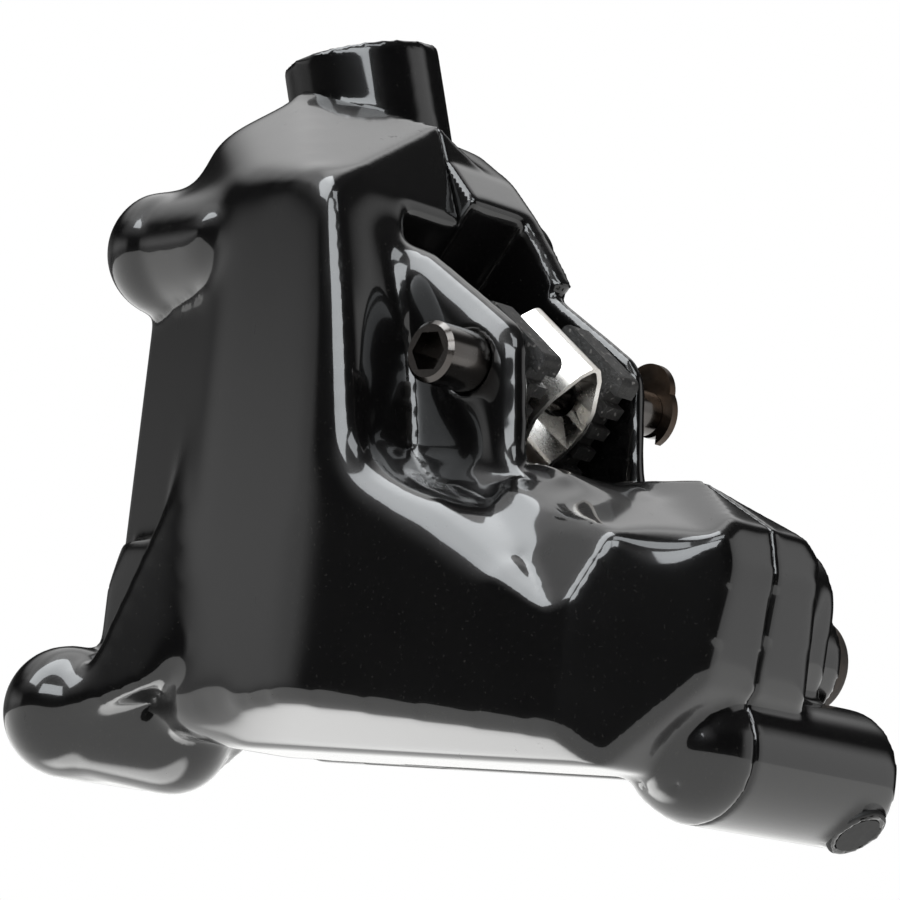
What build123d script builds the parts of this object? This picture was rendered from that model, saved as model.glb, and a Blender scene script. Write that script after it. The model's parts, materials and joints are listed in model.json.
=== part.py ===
from build123d import *
from math import atan2, cos, degrees, radians, sin
import os

# Flat-mount road brake caliper, built as two body halves that meet on the rotor plane.
# Origin: midway between the two mount screw holes, on the mount face.
# X runs away from the frame, Y along the rotor axis towards the wheel, Z up the fork leg.
# "Outer" is the side away from the wheel (-Y), "inner" the wheel side (+Y).

# Mount and rotor
mount_spacing = 34.0
mount_to_rotor = 6.5
mount_hole_radius = 2.1
mount_hole_depth = 7.0
rotor_radius = 70.0
rotor_thickness = 1.8
rotor_side_gap = 0.7
rotor_rim_gap = 0.8

# Pistons, seals and pads
pad_angle = 53.13
piston_shares = (0.416, -0.151)
piston_circle = 59.0
piston_radius = 8.5
piston_back_gap = 1.05
piston_wall = 1.4
piston_floor = 1.6
piston_chamfer = 0.3
piston_fit = 0.03
bore_floor = 2.6
seal_section = 1.2
seal_depth = 1.2
seal_from_pocket = 1.4
seal_fit = 0.02
pad_plate_thickness = 1.8
pad_lining_thickness = 2.0
pad_rotor_gap = 0.2
pad_half_width = 9.8
pad_shoulder = 10.0
pad_pocket_gap = 0.3
pad_back_gap = 0.6
piston_pad_gap = 0.05
tab_half_width = 3.6
tab_above_pin = 3.5
tab_tooth_pitch = 1.75
tab_tooth_depth = 0.8
tab_tooth_count = 4
tab_corner = 0.7
lining_inset = 0.8
lining_top = 9.6
lining_chamfer = 0.4
window_left = 14.1
window_right = 10.5
window_start = 12.0
window_reach = 40.0

# Pad pin and its clip
pin_from_piston = 19.0
pin_head_radius = 2.1
pin_thread_radius = 2.0
pin_shank_radius = 1.6
pin_head_length = 3.8
pin_fit = 0.05
pin_pad_gap = 0.35
pin_tail = 5.6
pin_socket_flats = 2.5
pin_socket_depth = 2.4
pin_end_chamfer = 0.3
clip_thickness = 0.6
clip_groove_depth = 0.45
clip_from_end = 0.9
clip_fit = 0.05
clip_radius = 2.1
clip_rise = 1.5
clip_rim = 0.9

# Body envelope and walls
body_length = 57.0
body_height = 49.0
housing_depth = 13.0
web_thickness = 1.8
barrel_radius = 4.7
barrel_offset = 3.6
upper_barrel_reach = 4.6
lower_barrel_reach = 8.9
boss_radius = 4.2
upper_boss_length = 8.4
upper_boss_rise = 1.2
lower_boss_length = 6.2
lower_boss_fall = 4.3
lower_boss_drop = 0.9
leg_depth = 9.0
bolt_boss_radius = 4.7
bolt_boss_depth = 15.5
inner_end_depth = 10.5

# Body bolts
lower_bolt_shares = (0.915, -0.340)
upper_bolt_shares = (0.190, 0.343)
bolt_radius = 2.5
bolt_fit = 0.1
bolt_head_radius = 3.7
bolt_head_height = 3.0
bolt_head_fit = 0.15
bolt_socket_flats = 4.0
bolt_socket_depth = 1.8
bolt_chamfer = 0.35
bolt_end_gap = 0.5
lower_thread_depth = 3.4
upper_thread_depth = 8.0
upper_seat_depth = 6.0

# Crossover seal, fluid passages, hose port, bleed fitting and boss plug
crossover_shares = (0.347, 0.337)
crossover_seal_radius = 1.9
crossover_seal_wire = 0.5
crossover_gap = 0.02
passage_radius = 0.8
gallery_depth = 8.5
port_shares = (0.147, 0.699)
port_depth = 6.0
port_radius = 5.8
port_lean_x = -0.19
port_lean_y = -0.18
port_height = 12.0
port_hole_radius = 3.5
port_hole_depth = 8.0
bleed_shares = (0.840, -0.184)
bleed_boss_radius = 4.3
bleed_boss_drop = 1.3
bleed_hole_radius = 2.4
bleed_hole_depth = 7.0
bleed_fit = 0.05
bleed_head_radius = 2.9
bleed_head_height = 1.2
bleed_shank_length = 5.0
bleed_socket_flats = 2.0
bleed_socket_depth = 2.0
bleed_ring_from_face = 1.6
bleed_seal_width = 0.7
bleed_cover_radius = 3.4
bleed_cover_round = 0.6
bleed_cover_height = 2.2
bleed_cover_gap = 0.05
plug_lip_radius = 2.1
plug_radius = 1.6
plug_lip_height = 0.5
plug_thickness = 0.6
plug_fit = 0.02
plug_from_end = 2.2
plug_turn = -49.0

# Pad spring strip
spring_thickness = 0.35
spring_half_width = 3.65
spring_bend = 0.5
spring_top_share = 1.2
spring_pin_gap = 0.3

# Overrun that carries a cut past its faces
over = 2.0


def place(share_x, share_z):
    """A point on the seam, from shares of the body's length and height."""
    return (share_x * body_length, share_z * body_height)


# Places worked out from the driving sizes
out_x = cos(radians(pad_angle))
out_z = sin(radians(pad_angle))
piston_x, piston_z = place(*piston_shares)
pin_x = piston_x + pin_from_piston * out_x
pin_z = piston_z + pin_from_piston * out_z
rotor_centre_x = piston_x - piston_circle * out_x
rotor_centre_z = piston_z - piston_circle * out_z
lower_bolt_x, lower_bolt_z = place(*lower_bolt_shares)
upper_bolt_x, upper_bolt_z = place(*upper_bolt_shares)
crossover_x, crossover_z = place(*crossover_shares)
port_x, port_z = place(*port_shares)
bleed_x, bleed_z = place(*bleed_shares)
slot_half = rotor_thickness / 2 + rotor_side_gap
plate_inner = rotor_thickness / 2 + pad_rotor_gap + pad_lining_thickness
plate_outer = plate_inner + pad_plate_thickness
pocket_depth = plate_outer + pad_back_gap
web_outer = pocket_depth + web_thickness
piston_front = plate_outer + piston_pad_gap
bore_radius = piston_radius + piston_fit
bore_end = housing_depth - bore_floor
piston_length = bore_end - piston_front - piston_back_gap
groove_radius = piston_radius + seal_section
bolt_hole_radius = bolt_radius + bolt_fit
bleed_boss_depth = bolt_boss_depth - bleed_boss_drop

# Sketch planes: their own X and Y follow the part's X and Z, and they face away from the wheel
seam = Plane(origin=(0, mount_to_rotor, 0), x_dir=(1, 0, 0), z_dir=(0, -1, 0))
pads = Plane(origin=(piston_x, mount_to_rotor, piston_z), x_dir=(out_z, 0, -out_x), z_dir=(0, -1, 0))
mirror_plane = Plane(origin=(0, mount_to_rotor, 0), z_dir=(0, 1, 0))


def corner(share_x, depth_share, share_z):
    """A point in space: as place, with a share of the housing's depth outward from the seam."""
    x, z = place(share_x, share_z)
    return Vector(x, mount_to_rotor - depth_share * housing_depth, z)


def at_depth(x, z, depth, side=-1):
    """A plane on the point (x, z), this deep into one half, facing out of that half."""
    return Plane(origin=(x, mount_to_rotor + side * depth, z), x_dir=(1, 0, 0), z_dir=(0, side, 0))


def cut_facets(tables, inside):
    """Cut the part being built by the plane of each table, on the far side of the given point."""
    for table in tables:
        first, second, third = [corner(*shares) for shares in table]
        cut = Plane(origin=first, x_dir=second - first, z_dir=(second - first).cross(third - first))
        split(bisect_by=cut, keep=Keep.TOP if (inside - first).dot(cut.z_dir) > 0 else Keep.BOTTOM)


def passage(start, end):
    """Drill a fluid passage between two points of the part being built."""
    with Locations(Plane(origin=start, z_dir=end - start).location):
        Cylinder(passage_radius, (end - start).length,
                 align=(Align.CENTER, Align.CENTER, Align.MIN), mode=Mode.SUBTRACT)


def round_boss(start, end, radius):
    """Add a bar with a round end between two points of the part being built."""
    with Locations(Plane(origin=start, z_dir=end - start).location):
        Cylinder(radius, (end - start).length, align=(Align.CENTER, Align.CENTER, Align.MIN))
    with Locations(end):
        Sphere(radius)


# Housing form shared by both halves: the thick block round the bore, cut by its facets
housing_shares = [
    (0.030, -0.331), (0.030, 0.300), (0.063, 0.440), (0.098, 0.560), (0.160, 0.621), (0.405, 0.543),
    (0.456, 0.406), (0.496, 0.229), (0.530, 0.040), (0.558, -0.024), (0.602, -0.063),
    (0.846, -0.188), (0.914, -0.382), (0.309, -0.382),
]
left_taper_shares = [(0.030, 0.44, 0), (0.030, 0.44, 0.3), (0.263, 0.87, 0)]
left_side_shares = [(0.465, 1.0, 0), (0.465, 1.0, 0.3), (0.263, 0.87, 0)]
right_taper_shares = [(0.993, 0.38, 0), (0.993, 0.38, 0.3), (0.870, 0.90, 0)]
side_taper_shares = [(0.50, 1.0, 0), (0.50, 1.0, 0.3), (0.870, 0.88, 0)]
crown_front_shares = [(0.186, 0, 0.622), (0.405, 0, 0.543), (0.432, 1.0, 0.406)]
crown_side_shares = [(0.186, 0, 0.622), (0.309, 1.0, 0.400), (0.432, 1.0, 0.406)]
crown_left_shares = [(0.121, 0.54, 0.449), (0.205, 0.54, 0.551), (0.288, 1.0, 0.376)]
lower_bevel_shares = [(0.30, 1.0, -0.318), (0.80, 1.0, -0.318), (0.30, 0.72, -0.382)]
housing_core_shares = (0.40, 0.4, -0.1)

with BuildPart() as housing_form:
    with BuildSketch(seam):
        with BuildLine():
            Polyline(*[place(*pair) for pair in housing_shares], close=True)
        make_face()
    extrude(amount=housing_depth)
    cut_facets((left_taper_shares, left_side_shares, right_taper_shares, side_taper_shares,
                crown_front_shares, crown_side_shares, crown_left_shares, lower_bevel_shares),
               corner(*housing_core_shares))

# Leaf of the outer half: the wall round the bore flares out towards the bridge and ends in a tip
leaf_shares = [
    (0.500, -0.100), (0.530, 0.040), (0.565, 0.005), (0.609, -0.018), (0.691, -0.047),
    (0.749, -0.090), (0.809, -0.147), (0.846, -0.188), (0.700, -0.180),
]
leaf_slope_shares = [(0.602, 1.0, -0.063), (0.846, 0.885, -0.188), (0.720, 0.81, -0.068)]
leaf_core_shares = (0.60, 0.2, -0.1)

with BuildPart() as leaf_form:
    with BuildSketch(seam):
        with BuildLine():
            Polyline(*[place(*pair) for pair in leaf_shares], close=True)
        make_face()
    extrude(amount=housing_depth)
    cut_facets((side_taper_shares, leaf_slope_shares), corner(*leaf_core_shares))

# Lower bridge: a ledge that slopes out from the seam to a crisp edge, and a scooped side under it
ledge_shares = [
    (0.500, -0.200), (0.500, -0.035), (0.690, 0.020), (0.842, 0.021), (0.880, 0.020),
    (0.989, -0.047), (1.001, -0.106), (0.988, -0.259), (0.914, -0.382), (0.500, -0.382),
]
ledge_slope_shares = [(0.793, 0.231, -0.004), (0.714, 0.692, -0.025), (0.919, 0.769, -0.088)]
ledge_scoop_shares = [(0.812, 0.692, -0.053), (0.919, 0.769, -0.088), (0.846, 0.885, -0.188)]
crest_slope_shares = [(0.842, 0, 0.021), (0.940, 0, 0.021), (0.870, 0.25, -0.035)]
ledge_core_shares = (0.80, 0.1, -0.3)

with BuildPart() as ledge_form:
    with BuildSketch(seam):
        with BuildLine():
            Polyline(*[place(*pair) for pair in ledge_shares], close=True)
        make_face()
    extrude(amount=housing_depth)
    cut_facets((right_taper_shares, side_taper_shares, lower_bevel_shares, ledge_slope_shares,
                ledge_scoop_shares), corner(*ledge_core_shares))

with BuildPart() as crest_form:
    with BuildSketch(seam):
        with BuildLine():
            Polyline(*[place(*pair) for pair in ledge_shares], close=True)
        make_face()
    extrude(amount=pocket_depth)
    cut_facets((right_taper_shares, crest_slope_shares), corner(*ledge_core_shares))

# Web that carries the pad pin, with the foot that ties it to the ledge
web_shares = [
    (0.400, 0.380), (0.523, 0.322), (0.672, 0.214), (0.685, 0.190),
    (0.704, 0.030), (0.730, -0.060), (0.460, -0.060),
]
foot_shares = [(0.690, 0.020), (0.754, 0.019), (0.772, -0.045), (0.790, -0.110), (0.640, -0.110)]

with BuildPart() as web_form:
    with BuildSketch(seam.offset(pocket_depth)):
        with BuildLine():
            Polyline(*[place(*pair) for pair in web_shares], close=True)
        make_face()
    extrude(amount=web_thickness)

with BuildPart() as foot_form:
    with BuildSketch(seam):
        with BuildLine():
            Polyline(*[place(*pair) for pair in foot_shares], close=True)
        make_face()
    extrude(amount=web_outer)

with BuildPart() as half_form:
    add(housing_form.part)
    add(ledge_form.part)
    add(crest_form.part)
    add(web_form.part)
    add(foot_form.part)

# Hollow shared by both halves: rotor slot, pad pocket with its window, piston bore, seal groove
pocket_half_width = pad_half_width + pad_pocket_gap

with BuildPart() as hollow_form:
    with BuildSketch(seam):
        with Locations((rotor_centre_x, rotor_centre_z)):
            Circle(rotor_radius + rotor_rim_gap)
    extrude(amount=slot_half)
    with BuildSketch(pads):
        Circle(pocket_half_width)
        with Locations((0, 0)):
            Rectangle(2 * pocket_half_width, window_reach, align=(Align.CENTER, Align.MIN))
        with Locations((-window_left, window_start)):
            Rectangle(window_left + window_right, window_reach, align=(Align.MIN, Align.MIN))
    extrude(amount=pocket_depth)
    with BuildSketch(pads.offset(pocket_depth)):
        Circle(bore_radius)
    extrude(amount=bore_end - pocket_depth)
    with BuildSketch(pads.offset(pocket_depth + seal_from_pocket)):
        Circle(groove_radius)
    extrude(amount=seal_depth)

# Outer half: mount barrels on a leg, the dome that takes the lower body bolt
barrel_z = mount_spacing / 2
seam_y = mount_to_rotor

leg_shares = [
    (0.069, -0.090), (0.069, -0.443), (0.130, -0.440), (0.170, -0.420), (0.235, -0.365), (0.235, -0.090),
]
leg_taper_shares = [(0.063, 0.60, -0.10), (0.063, 0.88, -0.36), (0.228, 1.0, -0.10)]
leg_core_shares = (0.20, 0.3, -0.3)
fin_shares = [(0.204, 0.065), (0.102, -0.375), (0.237, -0.306), (0.333, -0.204), (0.333, 0.040)]
fin_slope_shares = [(0.204, 0.758, 0.065), (0.102, 1.085, -0.375), (0.298, 0.885, -0.245)]

with BuildPart() as leg_form:
    with BuildSketch(seam.offset(slot_half)):
        with BuildLine():
            Polyline(*[place(*pair) for pair in leg_shares], close=True)
        make_face()
    extrude(amount=leg_depth - slot_half)
    cut_facets((leg_taper_shares,), corner(*leg_core_shares))

with BuildPart() as fin_form:
    with BuildSketch(seam.offset(slot_half)):
        with BuildLine():
            Polyline(*[place(*pair) for pair in fin_shares], close=True)
        make_face()
    extrude(amount=bolt_boss_depth)
    cut_facets((fin_slope_shares,), corner(*leg_core_shares))

with BuildPart() as outer_body_half:
    add(half_form.part)
    add(leaf_form.part)
    add(leg_form.part)
    add(fin_form.part)
    for z, reach, run in (
            (barrel_z, upper_barrel_reach, Vector(upper_boss_length, -upper_boss_rise, 0)),
            (-barrel_z, lower_barrel_reach, Vector(lower_boss_length, lower_boss_fall, -lower_boss_drop))):
        barrel_start = Vector(barrel_offset, seam_y - slot_half, z)
        barrel_end = barrel_start - Vector(0, reach, 0)
        round_boss(barrel_start, barrel_end, barrel_radius)
        round_boss(barrel_end, barrel_end + run, boss_radius)
    with Locations((lower_bolt_x, seam_y, lower_bolt_z)):
        Sphere(bolt_boss_radius)
    split(bisect_by=seam, keep=Keep.TOP)
    split(bisect_by=Plane.YZ, keep=Keep.TOP)
    add(hollow_form.part, mode=Mode.SUBTRACT)
    with Locations(*[Plane(origin=(0, 0, z), z_dir=(-1, 0, 0)).location for z in (barrel_z, -barrel_z)]):
        Hole(mount_hole_radius, mount_hole_depth)
    with BuildSketch(seam):
        with Locations((pin_x, pin_z)):
            Circle(pin_thread_radius + pin_fit)
    extrude(amount=housing_depth, mode=Mode.SUBTRACT)
    with BuildSketch(seam):
        with Locations((lower_bolt_x, lower_bolt_z)):
            Circle(bolt_hole_radius)
    extrude(amount=lower_thread_depth, mode=Mode.SUBTRACT)
    with BuildSketch(seam):
        with Locations((upper_bolt_x, upper_bolt_z)):
            Circle(bolt_hole_radius)
    extrude(amount=upper_thread_depth, mode=Mode.SUBTRACT)
    with BuildSketch(seam):
        with Locations((crossover_x, crossover_z)):
            Circle(crossover_seal_radius + crossover_seal_wire + crossover_gap)
            Circle(crossover_seal_radius - crossover_seal_wire - crossover_gap, mode=Mode.SUBTRACT)
    extrude(amount=2 * crossover_seal_wire + crossover_gap, mode=Mode.SUBTRACT)
    crossover_top = Vector(crossover_x, seam_y, crossover_z)
    bore_top = Vector(piston_x, seam_y, piston_z + bore_radius - passage_radius)
    out_turn = Vector(0, -gallery_depth, 0)
    out_bore = Vector(0, passage_radius - bore_end, 0)
    passage(crossover_top, crossover_top + out_turn)
    passage(crossover_top + out_turn, bore_top + out_bore)

# Inner half: the mirrored form with its hose port, bleed boss, bolt boss and a shorter foot
port_axis = Vector(port_lean_x, port_lean_y, (1 - port_lean_x ** 2 - port_lean_y ** 2) ** 0.5)
port_rim = Vector(port_x, seam_y + port_depth, port_z)
port_plane = Plane(origin=port_rim, z_dir=-port_axis)
inner_trim_shares = [(0.08, 0, 0.30), (0.23, 0, -0.44), (0.08, 1.0, 0.30)]
inner_crown_shares = [(0.20, -1.0, 0.05), (0.50, -1.0, 0.05), (0.40, -0.86, 0.406)]
inner_floor_shares = [(0.30, 0, -0.382), (0.60, 0, -0.382), (0.30, -1.0, -0.360)]
inner_brow_shares = [
    (0.340, 0.400), (0.365, 0.542), (0.430, 0.487), (0.473, 0.436),
    (0.517, 0.373), (0.547, 0.326), (0.500, 0.300),
]
inner_end_shares = [
    (0.860, -0.010), (0.925, -0.055), (0.951, -0.098), (0.945, -0.205), (0.936, -0.245), (0.860, -0.300),
]

with BuildPart() as inner_body_half:
    add(mirror(half_form.part, about=mirror_plane))
    cut_facets((inner_trim_shares, inner_crown_shares, inner_floor_shares),
               Vector(piston_x, seam_y, piston_z))
    for shares, depth in ((inner_brow_shares, web_outer), (inner_end_shares, inner_end_depth)):
        with BuildSketch(seam):
            with BuildLine():
                Polyline(*[place(*pair) for pair in shares], close=True)
            make_face()
        extrude(amount=-depth)
    with BuildSketch(port_plane):
        Circle(port_radius)
    extrude(amount=port_height)
    with BuildSketch(at_depth(lower_bolt_x, lower_bolt_z, 0, 1)):
        Circle(bolt_boss_radius)
    extrude(amount=bolt_boss_depth)
    with BuildSketch(at_depth(bleed_x, bleed_z, pocket_depth, 1)):
        Circle(bleed_boss_radius)
    extrude(amount=bleed_boss_depth - pocket_depth)
    plug_spot = Vector(
        lower_bolt_x + bolt_boss_radius * cos(radians(plug_turn)),
        seam_y + bolt_boss_depth - plug_from_end,
        lower_bolt_z + bolt_boss_radius * sin(radians(plug_turn)))
    plug_out = Vector(cos(radians(plug_turn)), 0, sin(radians(plug_turn)))
    plug_top = Plane(origin=plug_spot + plug_out * plug_lip_height, z_dir=plug_out)
    with BuildSketch(plug_top):
        Circle(plug_lip_radius)
    extrude(amount=-(plug_lip_height + plug_thickness))
    split(bisect_by=seam, keep=Keep.BOTTOM)
    add(mirror(hollow_form.part, about=mirror_plane), mode=Mode.SUBTRACT)
    with BuildSketch(plug_top):
        Circle(plug_radius + plug_fit)
    extrude(amount=-(plug_lip_height + plug_fit), mode=Mode.SUBTRACT)
    with BuildSketch(seam):
        with Locations((pin_x, pin_z)):
            Circle(pin_shank_radius + pin_fit)
    extrude(amount=-housing_depth, mode=Mode.SUBTRACT)
    for x, z, seat in ((lower_bolt_x, lower_bolt_z, bolt_boss_depth - bolt_head_height),
                       (upper_bolt_x, upper_bolt_z, upper_seat_depth)):
        with BuildSketch(seam):
            with Locations((x, z)):
                Circle(bolt_hole_radius)
        extrude(amount=-seat, mode=Mode.SUBTRACT)
        with BuildSketch(seam.offset(-seat)):
            with Locations((x, z)):
                Circle(bolt_head_radius + bolt_head_fit)
        extrude(amount=-(housing_depth + over), mode=Mode.SUBTRACT)
    with BuildSketch(port_plane):
        Circle(port_hole_radius)
    extrude(amount=port_hole_depth, mode=Mode.SUBTRACT)
    with BuildSketch(at_depth(bleed_x, bleed_z, bleed_boss_depth, 1)):
        Circle(bleed_hole_radius + bleed_fit)
    extrude(amount=-bleed_hole_depth, mode=Mode.SUBTRACT)
    bleed_floor = Vector(bleed_x, seam_y + bleed_boss_depth - bleed_hole_depth + passage_radius, bleed_z)
    bore_side = Vector(piston_x + bore_radius - passage_radius, seam_y, piston_z)
    passage(crossover_top, crossover_top - out_turn)
    passage(crossover_top - out_turn, bore_top - out_bore)
    passage(port_rim - port_axis * port_hole_depth, crossover_top - out_turn)
    passage(bleed_floor, bore_side - out_bore)

# Pistons: cups that press on the pad plates with their open rims
with BuildPart() as outer_piston:
    with BuildSketch(pads.offset(piston_front)):
        Circle(piston_radius)
    extrude(amount=piston_length)
    with BuildSketch(pads.offset(piston_front)):
        Circle(piston_radius - piston_wall)
    extrude(amount=piston_length - piston_floor, mode=Mode.SUBTRACT)
    chamfer(outer_piston.edges().filter_by(GeomType.CIRCLE).group_by(Axis.Y)[0], piston_chamfer)

with BuildPart() as outer_piston_seal:
    with BuildSketch(pads.offset(pocket_depth + seal_from_pocket + seal_fit)):
        Circle(groove_radius - seal_fit)
        Circle(piston_radius + seal_fit, mode=Mode.SUBTRACT)
    extrude(amount=seal_depth - 2 * seal_fit)

# Pads: a steel plate with a toothed tab, and the lining bonded to it
tooth_width = tab_tooth_pitch / 2

with BuildPart() as outer_pad_plate:
    with BuildSketch(pads.offset(plate_inner)):
        Circle(pad_half_width)
        Rectangle(2 * pad_half_width, pad_shoulder, align=(Align.CENTER, Align.MIN))
        with BuildLine():
            Polyline(
                (-pad_half_width, pad_shoulder), (pad_half_width, pad_shoulder),
                (tab_half_width, pin_from_piston - tab_above_pin - tab_half_width),
                (-tab_half_width, pin_from_piston - tab_above_pin - tab_half_width), close=True)
        make_face()
        RectangleRounded(2 * tab_half_width, pin_from_piston + tab_above_pin, tab_corner,
                         align=(Align.CENTER, Align.MIN))
        for tooth in range(tab_tooth_count):
            with Locations(
                    (tab_half_width, pin_from_piston + tab_above_pin - tab_tooth_pitch * (tooth + 1)),
                    (-tab_half_width, pin_from_piston + tab_above_pin - tab_tooth_pitch * (tooth + 1))):
                Rectangle(2 * tab_tooth_depth, tooth_width, mode=Mode.SUBTRACT)
        with Locations((0, pin_from_piston)):
            Circle(pin_shank_radius + pin_pad_gap, mode=Mode.SUBTRACT)
    extrude(amount=pad_plate_thickness)

with BuildPart() as outer_pad_lining:
    with BuildSketch(pads.offset(plate_inner - pad_lining_thickness)):
        Circle(pad_half_width - lining_inset)
        Rectangle(2 * (pad_half_width - lining_inset), lining_top, align=(Align.CENTER, Align.MIN))
    extrude(amount=pad_lining_thickness)
    chamfer(outer_pad_lining.faces().sort_by(Axis.Y)[-1].edges(), lining_chamfer)

# Pad pin: socket head, threaded neck in the outer web, plain shank, groove for the clip
pin_head_end = web_outer + pin_head_length
pin_end = web_outer + pin_tail
groove_depth = pin_end - clip_from_end

with BuildPart() as pad_pin:
    with BuildSketch(at_depth(pin_x, pin_z, web_outer)):
        Circle(pin_head_radius)
    extrude(amount=pin_head_length)
    with BuildSketch(at_depth(pin_x, pin_z, web_outer)):
        Circle(pin_thread_radius)
    extrude(amount=-web_thickness)
    with BuildSketch(at_depth(pin_x, pin_z, web_outer)):
        Circle(pin_shank_radius)
    extrude(amount=-(web_outer + pin_end))
    chamfer(pad_pin.edges().filter_by(GeomType.CIRCLE).sort_by(Axis.Y)[-1], pin_end_chamfer)
    chamfer(pad_pin.edges().filter_by(GeomType.CIRCLE).sort_by(Axis.Y)[0], pin_end_chamfer)
    with BuildSketch(at_depth(pin_x, pin_z, pin_head_end)):
        RegularPolygon(pin_socket_flats / 2, 6, major_radius=False)
    extrude(amount=-pin_socket_depth, mode=Mode.SUBTRACT)
    with BuildSketch(at_depth(pin_x, pin_z, groove_depth, 1)):
        Circle(pin_shank_radius + over)
        Circle(pin_shank_radius - clip_groove_depth, mode=Mode.SUBTRACT)
    extrude(amount=-(clip_thickness + 2 * clip_fit), mode=Mode.SUBTRACT)

with BuildPart() as pin_clip:
    with BuildSketch(at_depth(pin_x, pin_z, groove_depth - clip_fit, 1)):
        Circle(pin_shank_radius + clip_rim)
        with Locations((0, -clip_rise)):
            Circle(clip_radius)
        Circle(pin_shank_radius - clip_groove_depth + clip_fit, mode=Mode.SUBTRACT)
        Rectangle(2 * (pin_shank_radius - clip_groove_depth + clip_fit), 2 * pin_shank_radius + over,
                  align=(Align.CENTER, Align.MIN), mode=Mode.SUBTRACT)
    extrude(amount=-clip_thickness)

# Body bolts, driven from the wheel side into the outer half
def body_bolt(x, z, seat, reach):
    """A socket screw whose head sits at this depth in the inner half."""
    with BuildPart() as bolt:
        with BuildSketch(at_depth(x, z, seat, 1)):
            Circle(bolt_head_radius)
        extrude(amount=bolt_head_height)
        with BuildSketch(at_depth(x, z, seat, 1)):
            Circle(bolt_radius)
        extrude(amount=-(seat + reach))
        chamfer(bolt.edges().filter_by(GeomType.CIRCLE).sort_by(Axis.Y)[-1], bolt_chamfer)
        chamfer(bolt.edges().filter_by(GeomType.CIRCLE).sort_by(Axis.Y)[0], bolt_chamfer)
        with BuildSketch(at_depth(x, z, seat + bolt_head_height, 1)):
            RegularPolygon(bolt_socket_flats / 2, 6, major_radius=False)
        extrude(amount=-bolt_socket_depth, mode=Mode.SUBTRACT)
    return bolt


lower_body_bolt = body_bolt(lower_bolt_x, lower_bolt_z, bolt_boss_depth - bolt_head_height,
                            lower_thread_depth - bolt_end_gap)
upper_body_bolt = body_bolt(upper_bolt_x, upper_bolt_z, upper_seat_depth, upper_thread_depth - bolt_end_gap)

# Crossover seal: a ring squeezed between the halves where the fluid passes across
seal_centre = (crossover_x, seam_y - crossover_seal_wire - crossover_gap / 2, crossover_z)

with BuildPart() as crossover_seal:
    with BuildSketch(Plane(origin=seal_centre, x_dir=(1, 0, 0), z_dir=(0, 0, 1))):
        with Locations((crossover_seal_radius, 0)):
            Circle(crossover_seal_wire)
    revolve(axis=Axis((crossover_x, seam_y, crossover_z), (0, 1, 0)))

# Bleed fitting with its seal ring and rubber cover, and the plug in the lower boss
with BuildPart() as bleed_valve:
    with BuildSketch(at_depth(bleed_x, bleed_z, bleed_boss_depth, 1)):
        Circle(bleed_head_radius)
    extrude(amount=bleed_head_height)
    with BuildSketch(at_depth(bleed_x, bleed_z, bleed_boss_depth, 1)):
        Circle(bleed_hole_radius)
    extrude(amount=-bleed_shank_length)
    with BuildSketch(at_depth(bleed_x, bleed_z, bleed_boss_depth - bleed_ring_from_face, 1)):
        Circle(bleed_hole_radius + over)
        Circle(bleed_hole_radius - bleed_seal_width, mode=Mode.SUBTRACT)
    extrude(amount=-(bleed_seal_width + 2 * bleed_fit), mode=Mode.SUBTRACT)
    with BuildSketch(at_depth(bleed_x, bleed_z, bleed_boss_depth + bleed_head_height, 1)):
        RegularPolygon(bleed_socket_flats / 2, 6, major_radius=False)
    extrude(amount=-bleed_socket_depth, mode=Mode.SUBTRACT)

with BuildPart() as bleed_valve_seal:
    with BuildSketch(at_depth(bleed_x, bleed_z, bleed_boss_depth - bleed_ring_from_face - bleed_fit, 1)):
        Circle(bleed_hole_radius)
        Circle(bleed_hole_radius - bleed_seal_width + bleed_fit, mode=Mode.SUBTRACT)
    extrude(amount=-bleed_seal_width)

with BuildPart() as bleed_cover:
    with BuildSketch(at_depth(bleed_x, bleed_z, bleed_boss_depth + bleed_cover_gap, 1)):
        Circle(bleed_cover_radius)
    extrude(amount=bleed_cover_height)
    with BuildSketch(at_depth(bleed_x, bleed_z, bleed_boss_depth + bleed_cover_gap, 1)):
        Circle(bleed_head_radius + bleed_cover_gap)
    extrude(amount=bleed_head_height, mode=Mode.SUBTRACT)
    fillet(bleed_cover.edges().filter_by(GeomType.CIRCLE).sort_by(Axis.Y)[-1], bleed_cover_round)

with BuildPart() as boss_plug:
    with BuildSketch(plug_top.offset(-plug_lip_height)):
        Circle(plug_radius)
    extrude(amount=plug_thickness / 2)

# Pad spring: one strip folded over the pin into two legs that push the pads apart
spring_plane = Plane(origin=pads.origin, x_dir=(0, 1, 0), z_dir=pads.x_dir)
spring_leg_shares = [
    (0.86, 0.58), (0.62, 0.69), (0.48, 0.79), (0.71, 0.86), (0.82, 0.95), (0.70, 1.03), (0.30, 1.15),
]
spring_leg = [(across * plate_inner, up * pin_from_piston) for across, up in spring_leg_shares]
spring_top = [(0.0, spring_top_share * pin_from_piston)]
spring_points = spring_leg + spring_top + [(-across, up) for across, up in reversed(spring_leg)]

with BuildPart() as pad_spring:
    with BuildSketch(spring_plane):
        with BuildLine():
            FilletPolyline(*spring_points, radius=spring_bend)
        trace(line_width=spring_thickness)
    extrude(amount=spring_half_width, both=True)
    with BuildSketch(seam):
        with Locations((pin_x, pin_z)):
            Circle(pin_shank_radius + spring_pin_gap)
    extrude(amount=plate_inner, both=True, mode=Mode.SUBTRACT)

# The wheel side has the same piston, seal, plate and lining, mirrored in the rotor plane
def mirrored(source):
    """The wheel-side twin of an outer piece."""
    with BuildPart() as twin:
        add(mirror(source.part, about=mirror_plane))
    return twin


inner_piston = mirrored(outer_piston)
inner_piston_seal = mirrored(outer_piston_seal)
inner_pad_plate = mirrored(outer_pad_plate)
inner_pad_lining = mirrored(outer_pad_lining)

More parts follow.
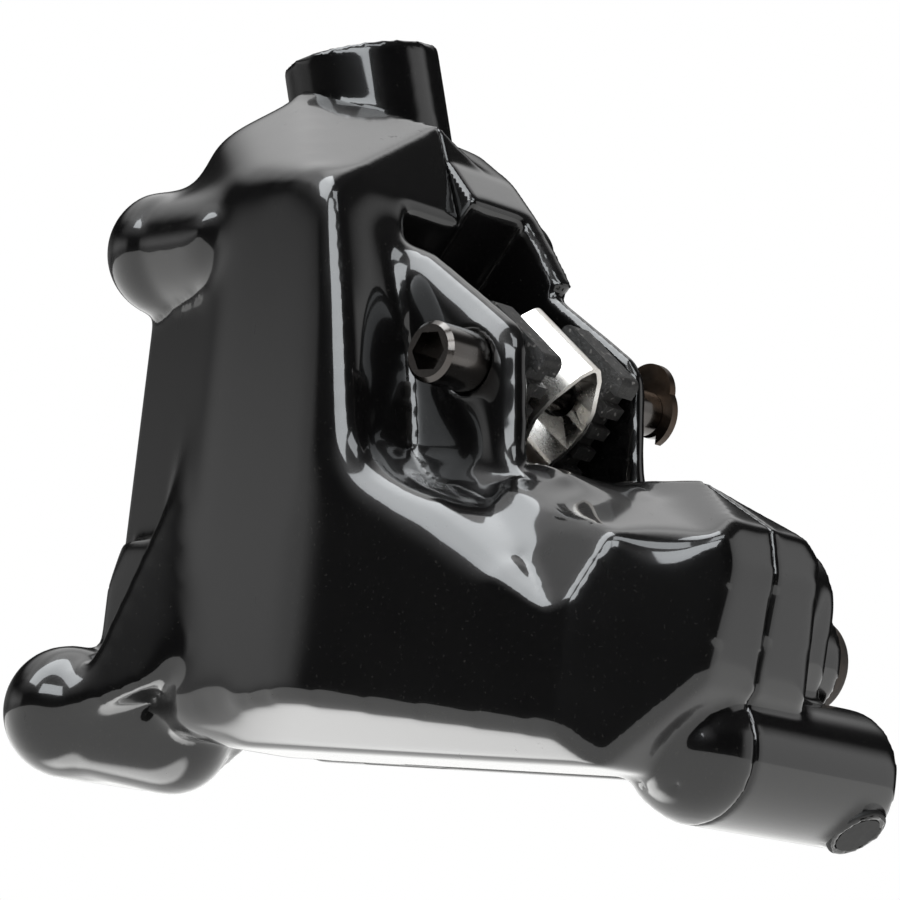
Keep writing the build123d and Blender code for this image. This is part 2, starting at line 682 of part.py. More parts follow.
pieces = {
    "outer_body_half": outer_body_half, "inner_body_half": inner_body_half,
    "outer_piston": outer_piston, "inner_piston": inner_piston,
    "outer_piston_seal": outer_piston_seal, "inner_piston_seal": inner_piston_seal,
    "outer_pad_plate": outer_pad_plate, "inner_pad_plate": inner_pad_plate,
    "outer_pad_lining": outer_pad_lining, "inner_pad_lining": inner_pad_lining,
    "pad_spring": pad_spring, "pad_pin": pad_pin, "pin_clip": pin_clip,
    "lower_body_bolt": lower_body_bolt, "upper_body_bolt": upper_body_bolt,
    "crossover_seal": crossover_seal, "bleed_valve": bleed_valve, "bleed_valve_seal": bleed_valve_seal,
    "bleed_cover": bleed_cover, "boss_plug": boss_plug,
}

os.makedirs("parts", exist_ok=True)
for name, piece in pieces.items():
    piece.part.label = name
    export_step(piece.part, "parts/" + name + ".step")
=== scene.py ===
# %% [markdown]
# # A disc brake caliper for a road bicycle
# The caliper's CAD solids are the frame of this scene: every piece here sits where they say. This
# lesson softens the two cast body halves, copies the pad spring, gives each small part its finish,
# and lights the whole like a product on white. Lengths are in metres, and the origin is midway
# between the mount screws. Many places below are given in millimetres and multiplied by MM.

import json
import math

import bpy
import numpy as np
from mathutils import Matrix, Vector


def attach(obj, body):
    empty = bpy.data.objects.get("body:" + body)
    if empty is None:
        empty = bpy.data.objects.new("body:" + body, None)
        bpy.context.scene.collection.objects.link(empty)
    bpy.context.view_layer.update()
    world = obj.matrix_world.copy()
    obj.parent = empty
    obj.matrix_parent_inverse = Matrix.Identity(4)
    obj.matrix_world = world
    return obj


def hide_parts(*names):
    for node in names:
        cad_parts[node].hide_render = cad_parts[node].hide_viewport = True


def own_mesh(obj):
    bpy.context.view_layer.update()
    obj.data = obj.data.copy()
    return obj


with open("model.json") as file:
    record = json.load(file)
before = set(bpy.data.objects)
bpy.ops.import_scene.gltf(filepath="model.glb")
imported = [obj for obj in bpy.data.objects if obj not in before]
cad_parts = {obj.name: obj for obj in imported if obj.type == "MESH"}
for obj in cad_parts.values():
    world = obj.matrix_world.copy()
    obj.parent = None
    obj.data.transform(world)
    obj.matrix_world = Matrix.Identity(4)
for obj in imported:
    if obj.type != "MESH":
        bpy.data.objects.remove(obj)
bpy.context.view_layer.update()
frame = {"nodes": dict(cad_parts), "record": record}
nodes = frame["nodes"]
MM = 0.001
SEAM_Y = 6.5 * MM

# %% [markdown]
# ## The camera
# The picture was taken from the outer side, a little from below, with a long lens that leans a few
# degrees. Three axes say this best: where the picture's right, its top and the photographer lie.
# The camera stands back along the third, so that the mount spacing of 34 mm comes out at its size.

# %% Stand the camera where the photographer stood
LOOK_AT = Vector((27.6, 6.5, 3.3)) * MM
RIGHT = Vector((0.7330, 0.6712, 0.1097))
BACK = Vector((0.6799, -0.7195, -0.1411))
DISTANCE = 255.2 * MM
LENS = 148.0

camera_data = bpy.data.cameras.new("photographer")
camera_data.lens = LENS
camera_data.sensor_width = 36.0
camera_data.clip_start = 10 * MM
camera = bpy.data.objects.new("photographer", camera_data)
bpy.context.scene.collection.objects.link(camera)
top = BACK.cross(RIGHT).normalized()
axes = Matrix((RIGHT.normalized(), top, BACK.normalized())).transposed()
camera.matrix_world = Matrix.Translation(LOOK_AT + BACK.normalized() * DISTANCE) @ axes.to_4x4()
bpy.context.scene.camera = camera
print("camera at", [round(c / MM, 1) for c in camera.location], "mm")

# %% [markdown]
# ## Shader maths in Python
# A finish is a network of nodes, and clicking sums together is slow to read. Here a socket is
# wrapped in a small class, so that `1 - mask * 0.5` adds the Math nodes by itself. One method adds
# any other node, with its settings first and then its inputs.

# %% A socket that can be used in sums
class Wire:
    """A value in a finish. A sum or a product of wires adds its Math node."""

    def __init__(self, finish, socket):
        self.finish = finish
        self.socket = socket

    def maths(self, operation, *values):
        return self.finish.node("ShaderNodeMath", {"operation": operation}, dict(enumerate(values)))

    def __add__(self, other):
        return self.maths("ADD", self, other)

    def __radd__(self, other):
        return self.maths("ADD", other, self)

    def __sub__(self, other):
        return self.maths("SUBTRACT", self, other)

    def __rsub__(self, other):
        return self.maths("SUBTRACT", other, self)

    def __mul__(self, other):
        return self.maths("MULTIPLY", self, other)

    def __rmul__(self, other):
        return self.maths("MULTIPLY", other, self)


class Finish:
    """A material, or the world, that is written as expressions."""

    def __init__(self, name, owner=None):
        self.owner = owner or bpy.data.materials.new(name)
        self.owner.use_nodes = True
        self.tree = self.owner.node_tree
        self.tree.nodes.clear()

    def node(self, kind, settings=None, inputs=None, out=0):
        made = self.tree.nodes.new(kind)
        for name, value in (settings or {}).items():
            if name == "stops":
                ramp = made.color_ramp
                while len(ramp.elements) < len(value):
                    ramp.elements.new(0.5)
                for element, (place, colour) in zip(ramp.elements, value):
                    element.position = place
                    element.color = (*colour, 1.0)
            else:
                setattr(made, name, value)
        for name, value in (inputs or {}).items():
            if isinstance(value, Wire):
                self.tree.links.new(value.socket, made.inputs[name])
            else:
                made.inputs[name].default_value = value
        return Wire(self, made.outputs[out]) if made.outputs else None

    def step(self, value, low, high):
        """0 below low, 1 above high, and smooth between them."""
        return self.node("ShaderNodeMapRange", {"interpolation_type": "SMOOTHSTEP"},
                         {"Value": value, "From Min": low, "From Max": high})

    def blend(self, amount, first, second):
        """A colour between two colours."""
        return self.node("ShaderNodeMix", {"data_type": "RGBA"}, {0: amount, 6: first, 7: second}, out=2)

    def grain(self, scale, detail=4.0, roughness=0.55, place=None, kind="ShaderNodeTexNoise"):
        """Noise whose features are about 1 / scale metres across."""
        settings = {"Scale": scale, "Detail": detail, "Roughness": roughness}
        settings["Vector"] = place or self.place()
        return self.node(kind, None, settings)

    def place(self, stretch=None):
        """Object coordinates, stretched along an axis for brushed or drawn metal."""
        spot = self.node("ShaderNodeTexCoord", out=3)
        if stretch:
            spot = self.node("ShaderNodeMapping", None, {"Vector": spot, "Scale": stretch})
        return spot

    def bumps(self, height, depth, strength=1.0):
        """Surface relief of this depth in metres."""
        return self.node("ShaderNodeBump", None, {"Height": height, "Distance": depth, "Strength": strength})

    def surface(self, **inputs):
        """Ends the finish in one Principled shader."""
        named = {key.replace("_", " "): value for key, value in inputs.items()}
        shader = self.node("ShaderNodeBsdfPrincipled", None, named)
        self.node("ShaderNodeOutputMaterial", None, {"Surface": shader})
        return self.owner


def colour(red, green, blue):
    return (red, green, blue, 1.0)


# %% [markdown]
# ## Gloss black paint
# The cast halves carry a thick clear gloss over black. A plain black with a low roughness looks
# like plastic film, so the clear coat is a coat of its own, with a faint ripple that bends
# reflections, and dust and hairline scuffs that only show where light catches them. Ridges, where
# hands and stones rub, are a shade greyer: the mesh carries that as an attribute named rub.

# %% Paint for the body
def gloss_paint():
    finish = Finish("gloss_black_paint")
    rub = finish.node("ShaderNodeAttribute", {"attribute_name": "rub"}, out=2)
    cloud = finish.grain(120.0, detail=3.0)
    dust = finish.step(finish.grain(5200.0, detail=2.0), 0.66, 0.74)
    scuff_lines = finish.grain(900.0, detail=5.0, roughness=0.7, place=finish.place((1.0, 1.0, 0.12)))
    scuffs = finish.step(scuff_lines, 0.64, 0.70) * finish.step(finish.grain(95.0), 0.50, 0.66)
    worn = rub * finish.step(finish.grain(700.0), 0.38, 0.62)
    base = finish.blend(cloud, colour(0.0036, 0.0036, 0.0040), colour(0.0066, 0.0064, 0.0064))
    base = finish.blend(worn * 0.30, base, colour(0.060, 0.058, 0.055))
    base = finish.blend(dust * 0.25, base, colour(0.110, 0.105, 0.095))
    rough = 0.20 + cloud * 0.10 + scuffs * 0.22 + worn * 0.10
    ripple = finish.grain(420.0, detail=1.5) * 0.7 + finish.grain(1500.0, detail=1.0) * 0.3
    return finish.surface(
        Base_Color=base, Roughness=rough, Specular_IOR_Level=0.12,
        Coat_Weight=1.0 - scuffs * 0.35 - worn * 0.20, Coat_Roughness=0.06, Coat_IOR=1.52,
        Normal=finish.bumps(ripple + scuffs * 0.04, 0.012 * MM))


# %% [markdown]
# ## The small parts' finishes
# Each small part is another metal or rubber, so each gets its own grain: stamped and blackened
# steel on the pads, a bright rolled strip for the spring, dark nickel on the pin. Stretching the
# noise along one axis gives the drawn and rolled metals their direction.

# %% Metals
def metal(name, dark, light, rough, scale, stretch=None, relief=0.004, stain=None, coat=0.0):
    """A metal with a grain that varies its colour, its roughness and its surface."""
    finish = Finish(name)
    place = finish.place(stretch)
    grain = finish.grain(scale, detail=6.0, roughness=0.65, place=place)
    cloud = finish.step(finish.grain(260.0, detail=3.0), 0.35, 0.65)
    pits = finish.step(finish.grain(scale * 1.7, detail=2.0), 0.68, 0.76)
    base = finish.blend(grain, colour(*dark), colour(*light))
    if stain:
        base = finish.blend(cloud * 0.45, base, colour(*stain))
    return finish.surface(
        Base_Color=base, Metallic=1.0, Roughness=rough + grain * 0.16 + pits * 0.12 + cloud * 0.05,
        Coat_Weight=coat, Normal=finish.bumps(grain - pits * 0.6, relief * MM))


def coated(name, dark, light, rough, scale, relief, flecks=None):
    """A rough coat, rubber or resin with a fine tooth and a few paler flecks."""
    finish = Finish(name)
    tooth = finish.grain(scale, detail=7.0, roughness=0.70)
    cloud = finish.grain(310.0, detail=3.0)
    base = finish.blend(finish.step(tooth * 0.6 + cloud * 0.4, 0.35, 0.65), colour(*dark), colour(*light))
    if flecks:
        spots = finish.step(finish.grain(scale * 0.8, detail=1.0), 0.64, 0.70)
        base = finish.blend(spots * 0.8, base, colour(*flecks))
    return finish.surface(Base_Color=base, Roughness=rough + tooth * 0.20, Metallic=0.0,
                          Normal=finish.bumps(tooth, relief * MM))


finishes = {
    "body_paint": gloss_paint(),
    "pad_steel": coated("blackened_pad_steel", (0.006, 0.006, 0.006), (0.032, 0.030, 0.028), 0.40, 2900.0,
                        0.12, flecks=(0.24, 0.23, 0.22)),
    "pad_lining": coated("sintered_lining", (0.045, 0.038, 0.032), (0.110, 0.092, 0.072), 0.72, 3200.0,
                         0.07, flecks=(0.42, 0.21, 0.11)),
    "spring_steel": metal("rolled_spring_strip", (0.74, 0.72, 0.69), (0.92, 0.91, 0.89), 0.18, 1500.0,
                          stretch=(1.0, 6.0, 1.0), relief=0.003, stain=(0.40, 0.36, 0.30)),
    "pin_nickel": metal("dark_nickel_pin", (0.055, 0.051, 0.048), (0.105, 0.098, 0.092), 0.12, 2400.0,
                        stretch=(1.0, 0.1, 1.0), relief=0.003, stain=(0.060, 0.048, 0.042), coat=0.5),
    "clip_steel": metal("browned_clip_steel", (0.034, 0.027, 0.022), (0.085, 0.066, 0.054), 0.26, 2600.0,
                        relief=0.006, stain=(0.10, 0.060, 0.035)),
    "bolt_steel": metal("black_oxide_bolts", (0.040, 0.040, 0.042), (0.085, 0.083, 0.080), 0.34, 2800.0,
                        relief=0.006, stain=(0.060, 0.050, 0.042)),
    "valve_steel": metal("turned_valve_steel", (0.34, 0.34, 0.34), (0.52, 0.52, 0.51), 0.22, 2600.0,
                         stretch=(1.0, 8.0, 1.0), relief=0.004),
    "piston_resin": coated("phenolic_pistons", (0.030, 0.022, 0.015), (0.060, 0.043, 0.028), 0.36, 1900.0,
                           0.010),
    "seal_rubber": coated("seal_rubber", (0.010, 0.010, 0.010), (0.022, 0.022, 0.022), 0.48, 2200.0, 0.010),
    "cover_rubber": coated("brown_cover_rubber", (0.014, 0.009, 0.006), (0.048, 0.032, 0.022), 0.50, 1900.0,
                           0.06),
    "plug_black": coated("black_plug", (0.002, 0.002, 0.002), (0.006, 0.006, 0.006), 0.50, 1800.0, 0.010),
}
print("finishes made:", len(finishes))

# %% [markdown]
# ## Dress the CAD nodes
# A node whose shape is right keeps its mesh and only takes its material. The record says which
# material slot each node belongs to, so one loop dresses them all.

# %% Give each CAD node its finish
slots = {row["node"]: row["material_slot"] for row in frame["record"]["subparts"]}
for name, node in nodes.items():
    node.data.materials.clear()
    node.data.materials.append(finishes[slots[name]])
print("nodes dressed:", len(slots))

# %% [markdown]
# ## Soften the cast halves
# The CAD halves are blocks with flat facets, and the real castings flow: every ridge is round and
# every inside corner has a fillet. Bevelling hundreds of edges that meet at odd angles tears. So a
# copy of each half is merged, rebuilt on a fine grid of cells by a Remesh that keeps corners sharp,
# and then relaxed by a Smooth modifier. A vertex group says how far each place may relax: fully on
# the outside, hardly at all where metal is machined, as at the seam, the hose port, the bores and
# the mount holes.

# %% Helpers that select and apply
def only(obj):
    """Selects one object and makes it active."""
    bpy.ops.object.select_all(action="DESELECT")
    obj.select_set(True)
    bpy.context.view_layer.objects.active = obj
    return obj


def apply(obj, kind, **settings):
    """Adds a modifier, sets it and applies it."""
    modifier = only(obj).modifiers.new(kind.lower(), kind)
    for name, value in settings.items():
        setattr(modifier, name, value)
    bpy.ops.object.modifier_apply(modifier=modifier.name)


def points_of(obj):
    """The places of a mesh's points, one row each."""
    flat = np.empty(len(obj.data.vertices) * 3)
    obj.data.vertices.foreach_get("co", flat)
    return flat.reshape(-1, 3)


def ramp(values, low, high):
    """0 below low, 1 above high, and smooth between them, on an array."""
    share = np.clip((values - low) / (high - low), 0.0, 1.0)
    return share * share * (3 - 2 * share)


def merged_copy(node, name):
    """A copy of a CAD node whose loose triangles are merged at their corners."""
    copy = bpy.data.objects.new(name, nodes[node].data.copy())
    bpy.context.scene.collection.objects.link(copy)
    only(copy)
    bpy.ops.object.mode_set(mode="EDIT")
    bpy.ops.mesh.select_all(action="SELECT")
    bpy.ops.mesh.remove_doubles(threshold=0.001 * MM)
    bpy.ops.object.mode_set(mode="OBJECT")
    return copy


# %% Where each half keeps its machined edges
PORT = np.array((8.6, 12.3, 34.0)) * MM
PIN = np.array((35.1, 7.8)) * MM
BLEED = np.array((47.9, -9.0)) * MM
MOUNT_Z = 17.0 * MM
PAD_CENTRE = np.array((23.7, -7.4)) * MM
PAD_OUTWARD = np.array((0.6, 0.8))
PAD_ROOM = 10.6 * MM
PAD_MOUTH = 14.0 * MM
BORE_REACH = 9.3 * MM
LEAST_SOFT = 0.12
piston_points = points_of(nodes["outer_piston"])
PISTON = (piston_points.min(axis=0) + piston_points.max(axis=0)) / 2
print("piston bore at X and Z in mm:", round(PISTON[0] / MM, 2), round(PISTON[2] / MM, 2))


def keep_edge(far, low, high, least=0.35):
    """A share that is small near a machined edge and 1 away from it. The distances are in mm."""
    return least + (1.0 - least) * ramp(far, low * MM, high * MM)


def softness(points):
    """How far each point may relax, from little on machined edges to 1 on cast skin."""
    x, y, z = points.T
    depth = np.abs(y - SEAM_Y)
    amount = keep_edge(depth, 0.2, 1.4)
    amount *= keep_edge(np.linalg.norm(points - PORT, axis=1), 6.5, 9.0)
    amount *= keep_edge(np.hypot(x - BLEED[0], z - BLEED[1]), 4.6, 5.6, least=0.40)
    amount *= keep_edge(np.hypot(x - PIN[0], z - PIN[1]), 2.5, 3.3)
    for side in (MOUNT_Z, -MOUNT_Z):
        hole = np.hypot(y, z - side) + ramp(x, 0.8 * MM, 2.5 * MM) * 4 * MM
        amount *= keep_edge(hole, 2.3, 3.2)
    across = (x - PAD_CENTRE[0]) * PAD_OUTWARD[1] - (z - PAD_CENTRE[1]) * PAD_OUTWARD[0]
    outward = (x - PAD_CENTRE[0]) * PAD_OUTWARD[0] + (z - PAD_CENTRE[1]) * PAD_OUTWARD[1]
    pocket = (np.abs(across) < PAD_ROOM) & (outward > -PAD_ROOM) & (outward < PAD_MOUTH)
    amount[pocket & (depth < 5.6 * MM)] *= 0.30
    bore = np.hypot(x - PISTON[0], z - PISTON[2]) < BORE_REACH
    amount[bore & (depth > 4.0 * MM) & (depth < 10.9 * MM)] *= 0.10
    return np.maximum(amount, LEAST_SOFT)


# %% [markdown]
# Some facets of the CAD halves stand for one curved surface. Lines are laid along their shared edges,
# and near a line the skin relaxes many more times, so that the facets melt into each other.

# %% Where facets melt into each other
# Each line runs between two points given as X, depth from the seam, and Z, and melts this far around.
RIDGE_MELTS = [
    ((25.0, 13.0, 17.5), (27.6, 13.0, 10.0), 5.4),
    ((27.6, 13.0, 10.0), (30.2, 13.0, 2.0), 4.2),
    ((30.2, 13.0, 2.0), (34.3, 13.0, -3.1), 3.6),
    ((34.3, 13.0, -3.1), (48.2, 11.6, -9.2), 2.6),
]
SIDE_MELTS = [
    ((11.6, 9.9, 3.2), (5.8, 14.1, -18.4), 2.6),
    ((15.0, 11.3, -11.0), (15.0, 11.3, 15.0), 5.0),
    ((13.5, 10.7, 2.0), (17.0, 11.6, -12.0), 3.5),
    ((17.0, 11.6, -12.0), (19.0, 12.0, -16.0), 3.5),
    ((6.5, 12.0, -18.0), (18.0, 10.0, -18.0), 2.5),
    ((28.5, 13.0, -11.0), (28.5, 13.0, -5.0), 4.0),
    ((49.6, 11.4, -10.0), (49.6, 11.0, -8.5), 4.5),
]
CROWN_MELTS = [
    ((16.5, 12.0, 19.3), (7.0, 3.0, 28.0), 4.5),
    ((10.6, 0.0, 30.5), (21.0, 10.0, 22.5), 4.5),
    ((3.6, 4.0, 21.6), (6.9, 7.0, 22.0), 4.5),
    ((5.6, 1.5, 27.4), (7.0, 4.0, 27.0), 4.0),
    ((5.0, 6.0, 21.5), (12.0, 9.0, 20.5), 3.5),
]
BRIDGE_MELTS = [
    ((49.0, 4.0, -2.0), (54.5, 8.0, -4.6), 3.0),
    ((30.6, 11.0, 1.0), (36.0, 11.0, -3.0), 2.6),
    ((36.0, 9.0, -1.5), (42.7, 10.5, -4.4), 2.2),
    ((42.7, 10.5, -4.4), (47.0, 11.4, -8.2), 3.4),
    ((42.0, 2.0, -0.5), (46.0, 5.0, -1.2), 2.6),
    ((44.5, 7.5, -1.6), (49.0, 7.2, -2.7), 2.6),
]
WEB_MELTS = [
    ((27.7, 7.3, 16.3), (36.5, 7.3, 10.7), 1.7),
    ((36.5, 7.3, 10.7), (37.8, 7.3, 9.7), 1.9),
    ((37.8, 7.3, 9.7), (39.3, 7.3, 2.5), 1.7),
    ((26.9, 6.9, 16.4), (30.3, 6.9, 10.4), 2.2),
    ((30.3, 6.9, 10.4), (36.4, 6.9, 2.3), 1.7),
]
MELTS = RIDGE_MELTS + SIDE_MELTS + CROWN_MELTS + BRIDGE_MELTS + WEB_MELTS
print("melting lines:", len(MELTS))


def near(points, start, end):
    """How far each point lies from a line between two points."""
    run = end - start
    share = np.clip((points - start) @ run / (run @ run), 0.0, 1.0)
    return np.linalg.norm(points - start - share[:, None] * run, axis=1)


def melting(points):
    """1 on the lines of MELTS and 0 away from them, the same on both halves."""
    folded = np.column_stack((points[:, 0], np.abs(points[:, 1] - SEAM_Y), points[:, 2]))
    amount = np.zeros(len(points))
    for start, end, reach in MELTS:
        far = near(folded, np.array(start) * MM, np.array(end) * MM)
        amount = np.maximum(amount, 1.0 - ramp(far, 0.25 * reach * MM, reach * MM))
    return amount


# %% [markdown]
# The web that carries the pad pin has a flat panel with a crisp border, and the skin left of and
# below that border lies a little deeper. The line of the border is drawn in X and Z, and every point
# of the web's outer face that lies left of it moves in, so that the panel stands proud.

# %% The recess beside the web's panel
PANEL_X = (26.6, 26.8, 28.5, 30.3, 33.4, 36.4, 40.0)
PANEL_Z = (18.5, 16.6, 13.2, 10.4, 5.6, 2.3, -0.6)
RECESS = 0.9
RECESS_START_X = 23.0


def recess(points):
    """Moves the outer web's face in, left of its panel."""
    spots = points / MM
    x, z = spots[:, 0], spots[:, 2]
    depth = (SEAM_Y - points[:, 1]) / MM
    border = np.interp(z, PANEL_Z[::-1], PANEL_X[::-1])
    amount = ramp(border - x, -0.1, 0.9) * ramp(z, 0.3, 2.0) * (1.0 - ramp(z, 16.8, 17.8))
    amount *= ramp(depth, 6.0, 6.6) * (1.0 - ramp(depth, 7.5, 9.5)) * (x > RECESS_START_X)
    moved = points.copy()
    moved[:, 1] += amount * RECESS * MM
    return moved


# %% [markdown]
# The bridge's top slopes down from the foot of the web in one even surface. In the CAD the foot is a
# small block there, so the skin around it is moved up or down onto that slope before it is softened.

# %% The slope beside the web's foot
FOOT_X, FOOT_Z = 40.2, 1.7
FALL_ALONG, FALL_OUTWARD, FALL_FROM = 0.34, 0.75, 5.5
BELOW, ABOVE = 2.3, 2.6


def slope_to_foot(points):
    """Lays the skin right of the web's foot onto one slope."""
    x, y, z = (points / MM).T
    depth = SEAM_Y / MM - y
    target = FOOT_Z - FALL_ALONG * (x - FOOT_X) - FALL_OUTWARD * np.maximum(depth - FALL_FROM, 0.0)
    share = ramp(x, 39.9, 40.9) * (1.0 - ramp(x, 43.0, 46.0)) * (1.0 - ramp(depth, 8.6, 9.6))
    share *= (depth > 0.3) * (z > target - BELOW) * (z < target + ABOVE)
    moved = points.copy()
    moved[:, 2] += share * (target - z) * ramp(z, target - BELOW, target - 1.2) * MM
    return moved


def dress_web(points):
    """Both changes to the outer half's skin, in the order in which they are made."""
    return recess(slope_to_foot(points))


# %% Cast and soften each half
CELL = 0.33 * MM
GRID_DEPTH = 8
WEIGHT_STEPS = 20
MELT_ROUNDS = 150


def relax(obj, amount, rounds):
    """Smooths a mesh, each point by its own amount."""
    group = obj.vertex_groups.new(name="soft")
    step = np.round(amount * WEIGHT_STEPS).astype(int)
    for level in range(1, WEIGHT_STEPS + 1):
        group.add(np.flatnonzero(step == level).tolist(), level / WEIGHT_STEPS, "REPLACE")
    apply(obj, "SMOOTH", factor=0.5, iterations=rounds, vertex_group="soft")
    obj.vertex_groups.clear()


def soft_half(node, name, rounds, carve=None):
    """Adds a softened copy of one CAD half, with its rub attribute."""
    half = merged_copy(node, name)
    longest = max(half.dimensions)
    apply(half, "REMESH", mode="SHARP", octree_depth=GRID_DEPTH, scale=longest / (CELL * 2 ** GRID_DEPTH),
          sharpness=1.0, use_remove_disconnected=False, use_smooth_shade=True)
    if carve:
        half.data.vertices.foreach_set("co", carve(points_of(half)).ravel())
    cast = points_of(half)
    amount = softness(cast)
    relax(half, melting(cast) * ramp(amount, 0.3, 0.9), MELT_ROUNDS)
    melted = points_of(half)
    relax(half, amount, rounds)
    moved = np.linalg.norm(points_of(half) - melted, axis=1)
    rub = half.data.attributes.new("rub", "FLOAT", "POINT")
    rub.data.foreach_set("value", ramp(moved, 0.10 * MM, 0.45 * MM))
    half.data.materials.clear()
    half.data.materials.append(finishes["body_paint"])
    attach(half, "caliper_body")
    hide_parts(node)
    print(name, "faces", len(half.data.polygons), "melted up to",
          round(np.linalg.norm(melted - cast, axis=1).max() / MM, 2), "mm, relaxed up to",
          round(moved.max() / MM, 2), "mm")


soft_half("outer_body_half", "outer_casting", 24, carve=dress_web)
soft_half("inner_body_half", "inner_casting", 18)

# %% [markdown]
# ## The pad spring
# The leaf spring sits between the two pads and folds narrower as they close. It keeps its CAD shape,
# so a merged copy is enough, and its half width from the middle plane is measured. As the pistons move
# out, each pad travels 1 mm, and the real spring gives way by a little more than that on each side.

# %% Copy the spring
folded_spring = merged_copy("pad_spring", "folded_spring")
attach(folded_spring, "caliper_body")
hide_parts("pad_spring")
half_width = np.abs(points_of(folded_spring)[:, 1] - SEAM_Y).max()
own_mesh(folded_spring)

# %% [markdown]
# ## The plug's lip
# The black plug in the lower boss ends in a thin rolled lip. It is a short tube: a disc whose middle
# is inset and taken out, given its thickness and rounded. It is made flat at the origin, and the
# last step turns its mesh onto the plug.

# %% Roll the lip
PLUG = Vector((55.24, 19.8, -20.2)) * MM
PLUG_TILT = math.radians(-49)
LIP_RADIUS = 2.15 * MM
LIP_WALL = 0.50 * MM
LIP_HEIGHT = 0.45 * MM
LIP_ROUNDING = 0.14 * MM
bpy.ops.object.select_all(action="DESELECT")
bpy.ops.mesh.primitive_circle_add(vertices=64, radius=LIP_RADIUS, fill_type="NGON", location=(0, 0, 0))
lip = bpy.context.active_object
lip.name = "plug_lip"
bpy.ops.object.mode_set(mode="EDIT")
bpy.ops.mesh.select_all(action="SELECT")
bpy.ops.mesh.inset(thickness=LIP_WALL)
bpy.ops.mesh.delete(type="FACE")
bpy.ops.object.mode_set(mode="OBJECT")
apply(lip, "SOLIDIFY", thickness=LIP_HEIGHT, offset=0.0)
apply(lip, "BEVEL", width=LIP_ROUNDING, segments=3, limit_method="ANGLE")
plug_axis = Vector((math.cos(PLUG_TILT), 0.0, math.sin(PLUG_TILT)))
turn = plug_axis.to_track_quat("Z", "Y").to_matrix().to_4x4()
lip.data.transform(Matrix.Translation(PLUG) @ turn)
only(lip)
bpy.ops.object.shade_smooth()
lip.data.materials.append(finishes["plug_black"])
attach(lip, "caliper_body")
print("plug lip faces:", len(lip.data.polygons))

# %% [markdown]
# ## The studio
# Black gloss shows its surroundings more than its own colour, so the surroundings are the light.
# A pale ceiling makes the crown and the ledge grey, a pale wall on the left lights the side face,
# and a darker front gives the deep blacks between them. Three cards draw the bright bands along the
# ridges. The camera itself sees plain white.
#
# The floor is white paper that shows in gloss as a painted glow, an emission that is no lamp, with a
# painted pool of light strongest right under the caliper, where the bevel along the bottom of the side face
# looks.

# %% Floor
FLOOR_Z = -46 * MM
GLOW_STRETCH = (1.0, 3.0, 1.0)
GLOW_MIDDLE = (-0.006, -0.006, 0.0)
GLOW_FULL, GLOW_END = 0.016, 0.034
bpy.ops.object.select_all(action="DESELECT")
bpy.ops.mesh.primitive_plane_add(size=1.6, location=(0.02, 0.0, FLOOR_Z))
floor = bpy.context.active_object
floor.name = "studio_floor"
paper = Finish("white_paper")
fibre = paper.grain(900.0, detail=5.0)
sheet = paper.node("ShaderNodeBsdfPrincipled", None, {
    "Base Color": paper.blend(fibre, colour(0.80, 0.80, 0.79), colour(0.86, 0.86, 0.85)),
    "Roughness": 0.75 + fibre * 0.1, "Normal": paper.bumps(fibre, 0.02 * MM)})
away = paper.node("ShaderNodeVectorMath", {"operation": "DISTANCE"},
                  {0: paper.place(GLOW_STRETCH), 1: GLOW_MIDDLE}, out=1)
# Painted pool of light: the paper's glow in gloss is brightest right under the caliper.
under = 1.0 - paper.step(away, GLOW_FULL, GLOW_END)
lit = paper.blend(under, colour(1.0, 1.0, 0.99), colour(4.6, 4.6, 4.55))
# Painted glow: this emission shows only in gloss and stands in for light on the paper.
painted_glow = paper.node("ShaderNodeEmission", None, {"Color": lit, "Strength": 1.2})
in_gloss = paper.node("ShaderNodeLightPath", out="Is Glossy Ray")
either = paper.node("ShaderNodeMixShader", None, {0: in_gloss, 1: sheet, 2: painted_glow})
paper.node("ShaderNodeOutputMaterial", None, {"Surface": either})
floor.data.materials.append(paper.owner)

# %% [markdown]
# The walls are the world. Its direction is split into east, north and up, each from -1 to 1, and
# every wall is a product of steps on them: one where the wall is, 0 elsewhere. Gloss sees the walls,
# the camera sees white, and everything else gets one even light.

# %% Walls and ceiling
PLAIN_LIGHT = 0.50
world = bpy.data.worlds.new("studio")
bpy.context.scene.world = world
room = Finish("studio", world)
direction = room.node("ShaderNodeTexCoord")
parts = room.tree.nodes.new("ShaderNodeSeparateXYZ")
room.tree.links.new(direction.socket, parts.inputs[0])
east, north, up = [Wire(room, socket) for socket in parts.outputs]
west, south = 0.0 - east, 0.0 - north

ceiling = room.step(up, 0.40, 0.60) * (1.0 - room.step(east, -0.25, 0.12) * 0.96)
ceiling = ceiling * (1.0 - room.step(north, 0.50, 0.66) * (1.0 - room.step(up, 0.52, 0.66)) * 0.8)
ceiling = ceiling * (1.0 - room.step(west, 0.68, 0.80) * 0.4) * (1.0 + room.step(up, 0.80, 0.92) * 0.8)
front_glow = room.step(up, 0.22, 0.44) * room.step(south, 0.30, 0.60) * (1.0 - ceiling)
left_wall = room.step(west, 0.62, 0.74) * (1.0 - room.step(up, 0.10, 0.30))
left_wall = left_wall * (0.22 + room.step(south, 0.0, 0.45) * 0.78)
left_wall = left_wall * (0.45 + room.step(up, -0.02, 0.10) * 0.55)
right_wall = room.step(east, 0.30, 0.50) * room.step(north, 0.30, 0.50) * (1.0 - room.step(up, 0.48, 0.58))
shine = 0.010 + ceiling + front_glow * 0.35 + left_wall * 0.60 + right_wall * 0.85

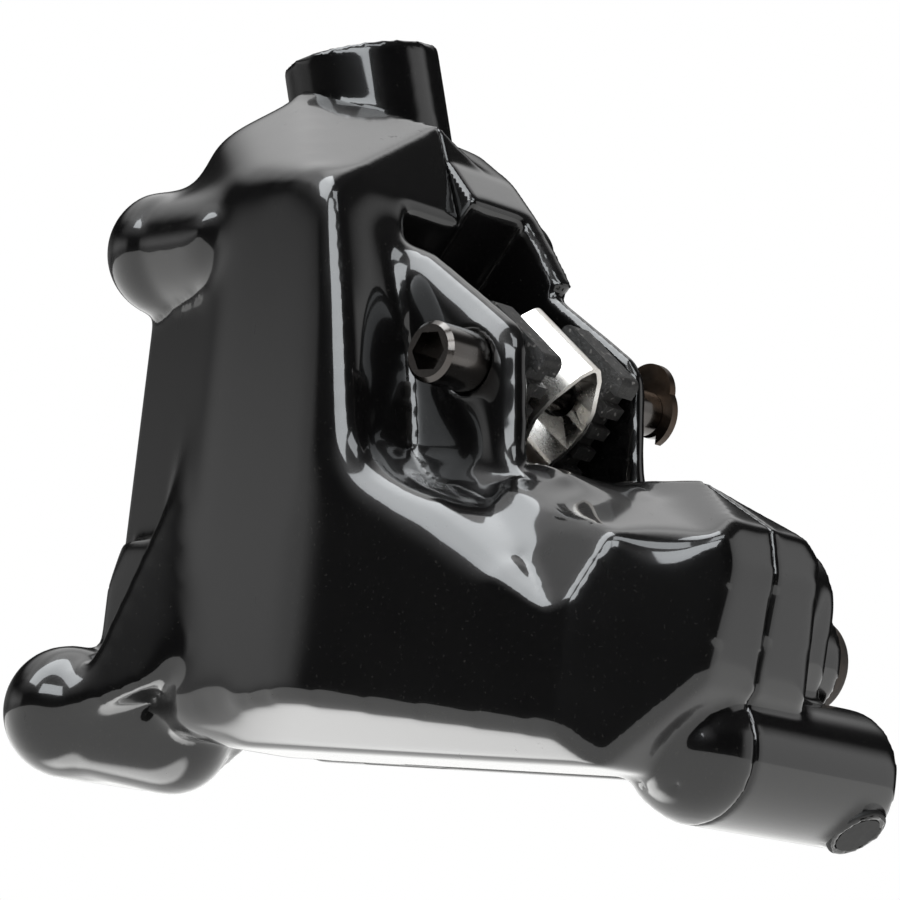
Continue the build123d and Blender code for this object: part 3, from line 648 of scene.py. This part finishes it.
rays = room.tree.nodes.new("ShaderNodeLightPath")
seen = Wire(room, rays.outputs["Is Camera Ray"]) + Wire(room, rays.outputs["Is Transmission Ray"])
glossy = Wire(room, rays.outputs["Is Glossy Ray"])
strength = seen + glossy * shine + (1.0 - seen) * (1.0 - glossy) * PLAIN_LIGHT
backdrop = room.node("ShaderNodeBackground", None, {"Color": colour(1.0, 1.0, 1.0), "Strength": strength})
room.node("ShaderNodeOutputWorld", None, {"Surface": backdrop})
print("studio world nodes:", len(room.tree.nodes))

# %% Lamps
def softbox(name, place, aim, width, height, power):
    """A rectangular area lamp that points at a spot."""
    lamp = bpy.data.lights.new(name, "AREA")
    lamp.shape = "RECTANGLE"
    lamp.size = width
    lamp.size_y = height
    lamp.energy = power
    obj = bpy.data.objects.new(name, lamp)
    bpy.context.scene.collection.objects.link(obj)
    towards = (Vector(aim) - Vector(place)).normalized()
    obj.matrix_world = Matrix.Translation(place) @ towards.to_track_quat("-Z", "Y").to_matrix().to_4x4()
    return obj


softbox("overhead", (-0.05, -0.05, 0.50), (0.02, 0.0, 0.0), 0.40, 0.40, 1.2).visible_glossy = False


CARD_AWAY = 0.55
COOL_WHITE = (0.93, 0.97, 1.0)


def card(name, towards, width, height, radiance):
    """A bright card that shows in gloss alone: a lamp that diffuse rays don't see."""
    place = LOOK_AT + Vector(towards).normalized() * CARD_AWAY
    lamp = softbox(name, place, LOOK_AT, width, height, radiance * math.pi * width * height)
    lamp.visible_diffuse = False
    lamp.data.color = COOL_WHITE
    print(name, "power", round(lamp.data.energy, 2), "W")


card("front_card", (0.36, -0.82, 0.44), 0.50, 0.17, 7.0)
card("brow_card", (0.50, -0.40, 0.77), 0.30, 0.22, 5.0)
card("top_card", (-0.28, -0.50, 0.80), 0.28, 0.56, 6.0)

# %% [markdown]
# ## View settings
# The view transform is set to Standard.

# %% Plain view settings
bpy.context.scene.view_settings.view_transform = "Standard"
